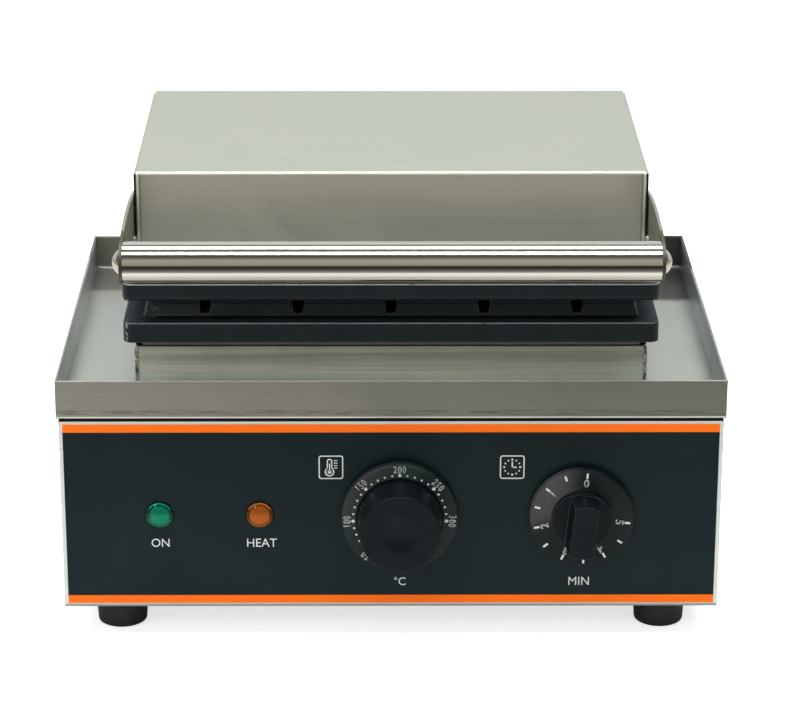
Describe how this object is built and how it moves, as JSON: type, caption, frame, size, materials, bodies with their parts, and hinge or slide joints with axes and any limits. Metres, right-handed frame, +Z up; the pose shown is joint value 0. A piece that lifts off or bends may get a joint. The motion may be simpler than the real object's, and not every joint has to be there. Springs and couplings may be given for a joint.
{
  "type": "corn dog maker",
  "caption": "Countertop electric corn dog maker: steel casing with drip tray, mould plates under a hinged hood with a bar handle, thermostat and timer dials.",
  "frame": {"origin": "under the middle of the whole box, on the plane that the feet stand on", "axes": "+X to the right as the user sees it, +Y to the back, +Z up"},
  "size_m": [0.34, 0.3194, 0.2474],
  "materials": {
    "stainless_steel": "brushed",
    "zinc_steel": "zinc plated",
    "polished_steel": "polished",
    "panel_film": "satin black print with orange stripes",
    "rubber": "matt",
    "coated_casting": "black non-stick coat on a sand casting",
    "element_sheath": "heat stained",
    "insulation": "fibre pad",
    "copper": "drawn",
    "green_lens": "clear tinted",
    "amber_lens": "clear tinted",
    "lamp_body": "moulded",
    "terminal_ceramic": "unglazed",
    "control_casing": "unglazed",
    "gland_plastic": "moulded",
    "bronze": "turned",
    "knob_plastic": "moulded satin"
  },
  "bodies": {
    "base": {"front_panel": "stainless_steel", "rear_panel": "stainless_steel", "left_side_panel": "stainless_steel", "right_side_panel": "stainless_steel", "bottom_plate": "stainless_steel", "drip_tray": "stainless_steel", "riser": "stainless_steel", "lower_frame": "stainless_steel", "hinge_brackets": "stainless_steel", "foot_screws": "zinc_steel", "base_screws": "zinc_steel", "tray_studs": "zinc_steel", "lower_clamp_bars": "zinc_steel", "lower_studs": "zinc_steel", "base_nuts": "zinc_steel", "control_screws": "zinc_steel", "panel_nuts": "zinc_steel", "bracket_screws": "zinc_steel", "hinge_axle": "zinc_steel", "axle_nuts": "zinc_steel", "panel_film": "panel_film", "rubber_feet": "rubber", "tray_seal": "rubber", "tray_grommet": "rubber", "base_wiring_bush": "rubber", "lower_plate": "coated_casting", "lower_element": "element_sheath", "lower_insulation": "insulation", "thermostat_bulb": "copper", "power_lamp_lens": "green_lens", "heat_lamp_lens": "amber_lens", "lamp_bodies": "lamp_body", "terminal_block": "terminal_ceramic", "thermostat_body": "control_casing", "timer_body": "control_casing", "cable_gland": "gland_plastic"},
    "lid": {"hood_cover": "stainless_steel", "left_hood_end": "stainless_steel", "right_hood_end": "stainless_steel", "hinge_ears": "stainless_steel", "ear_screws": "zinc_steel", "hinge_bushes": "bronze", "upper_plate": "coated_casting", "upper_element": "element_sheath", "bridge_bars": "zinc_steel", "upper_studs": "zinc_steel", "lid_nuts": "zinc_steel", "upper_insulation": "insulation", "left_handle_arm": "stainless_steel", "right_handle_arm": "stainless_steel", "handle_tube": "polished_steel", "handle_screws": "polished_steel", "hood_screws": "zinc_steel", "arm_rivets": "zinc_steel", "lid_wiring_bush": "rubber"},
    "thermostat_dial": {"thermostat_shaft": "zinc_steel", "thermostat_knob": "knob_plastic"},
    "timer_dial": {"timer_shaft": "zinc_steel", "timer_knob": "knob_plastic"}
  },
  "joints": [
    {"name": "lid_hinge", "type": "hinge", "parent": "base", "child": "lid", "pos_m": [0, 0.10075, 0.1853], "axis": [-1, 0, 0], "range_deg": [0, 95]},
    {"name": "thermostat_turn", "type": "hinge", "parent": "base", "child": "thermostat_dial", "pos_m": [0.0044, -0.09625, 0.0708], "axis": [0, -1, 0], "range_deg": [-159, 93]},
    {"name": "timer_turn", "type": "hinge", "parent": "base", "child": "timer_dial", "pos_m": [0.0975, -0.09625, 0.0708], "axis": [0, -1, 0], "range_deg": [-264, 6]}
  ]
}
